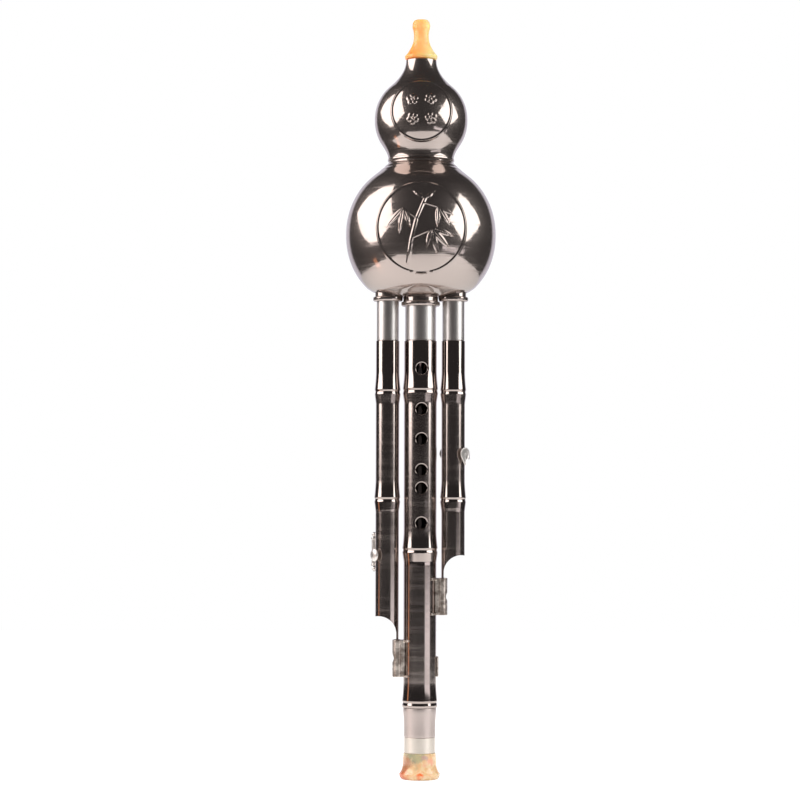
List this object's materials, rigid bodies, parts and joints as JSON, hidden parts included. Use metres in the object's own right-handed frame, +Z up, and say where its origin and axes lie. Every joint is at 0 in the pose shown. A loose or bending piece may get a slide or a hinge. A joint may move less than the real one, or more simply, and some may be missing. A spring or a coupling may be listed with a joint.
{
  "type": "hulusi",
  "caption": "Gourd-shaped free-reed flute with a fingered main pipe, keyed drone pipes, tuning sleeves, a mouthpiece and a flared foot",
  "frame": {"origin": "middle of the foot bell's lower rim, the lowest point of the upright instrument", "axes": "+Z up along the main pipe to the mouthpiece, -Y the side of the finger holes, +X the side of the short drone"},
  "size_m": [0.0866, 0.087, 0.4398],
  "materials": {
    "black_nickel": "polished black nickel plating",
    "satin_nickel": "satin nickel, turned",
    "rose_nickel": "soft satin nickel, slightly pink",
    "antique_silver": "antique silver, hammered",
    "bright_nickel": "bright nickel plating",
    "spring_steel": "blued spring steel",
    "reed_brass": "filed brass",
    "reed_plastic": "moulded, matte",
    "amber_plastic": "polished amber-coloured resin",
    "marbled_plastic": "polished marbled resin",
    "cork": "greased cork",
    "pad_felt": "skin-covered felt"
  },
  "bodies": {
    "gourd": {"gourd_lower_shell": "black_nickel", "gourd_upper_shell": "black_nickel", "main_socket_ferrule": "black_nickel", "left_socket_ferrule": "black_nickel", "right_socket_ferrule": "black_nickel"},
    "mouthpiece": {"mouthpiece": "amber_plastic", "mouthpiece_cork": "cork"},
    "main_pipe": {"main_pipe": "black_nickel", "main_tuning_sleeve": "satin_nickel", "main_sleeve_cork": "cork", "main_reed_holder": "reed_plastic", "main_reed_plate": "reed_brass", "left_drone_clip": "antique_silver", "right_drone_clip": "antique_silver"},
    "foot": {"lower_joint": "rose_nickel", "lower_joint_cork": "cork", "foot_ring": "satin_nickel", "foot_bell": "marbled_plastic"},
    "left_drone": {"left_drone_pipe": "black_nickel", "left_tuning_sleeve": "satin_nickel", "left_sleeve_cork": "cork", "left_reed_holder": "reed_plastic", "left_reed_plate": "reed_brass", "left_key_rib": "bright_nickel", "left_key_pivot_rod": "spring_steel", "left_key_spring": "spring_steel"},
    "left_key": {"left_key_lever": "bright_nickel", "left_key_pad": "pad_felt"},
    "right_drone": {"right_drone_pipe": "black_nickel", "right_tuning_sleeve": "satin_nickel", "right_sleeve_cork": "cork", "right_reed_holder": "reed_plastic", "right_reed_plate": "reed_brass", "right_key_rib": "bright_nickel", "right_key_pivot_rod": "spring_steel", "right_key_spring": "spring_steel"},
    "right_key": {"right_key_lever": "bright_nickel", "right_key_pad": "pad_felt"}
  },
  "joints": [
    {"name": "mouthpiece_pull", "type": "slide", "parent": "gourd", "child": "mouthpiece", "axis": [0, 0, 1], "range_m": [0, 0.009]},
    {"name": "main_pipe_draw", "type": "slide", "parent": "gourd", "child": "main_pipe", "axis": [0, 0, -1], "range_m": [0, 0.01]},
    {"name": "left_drone_draw", "type": "slide", "parent": "gourd", "child": "left_drone", "axis": [0, 0, -1], "range_m": [0, 0.004]},
    {"name": "right_drone_draw", "type": "slide", "parent": "gourd", "child": "right_drone", "axis": [0, 0, -1], "range_m": [0, 0.004]},
    {"name": "foot_pull", "type": "slide", "parent": "main_pipe", "child": "foot", "axis": [0, 0, -1], "range_m": [0, 0.012]},
    {"name": "left_key_press", "type": "hinge", "parent": "left_drone", "child": "left_key", "pos_m": [-0.02651, 0.00566, 0.1301], "axis": [0, 0, 1], "range_deg": [0, 9], "stiffness_Nm_per_rad": 0.01, "springref_deg": -20.05},
    {"name": "right_key_press", "type": "hinge", "parent": "right_drone", "child": "right_key", "pos_m": [0.0237, 0.00814, 0.1869], "axis": [0, 0, -1], "range_deg": [0, 9], "stiffness_Nm_per_rad": 0.01, "springref_deg": -20.05}
  ]
}
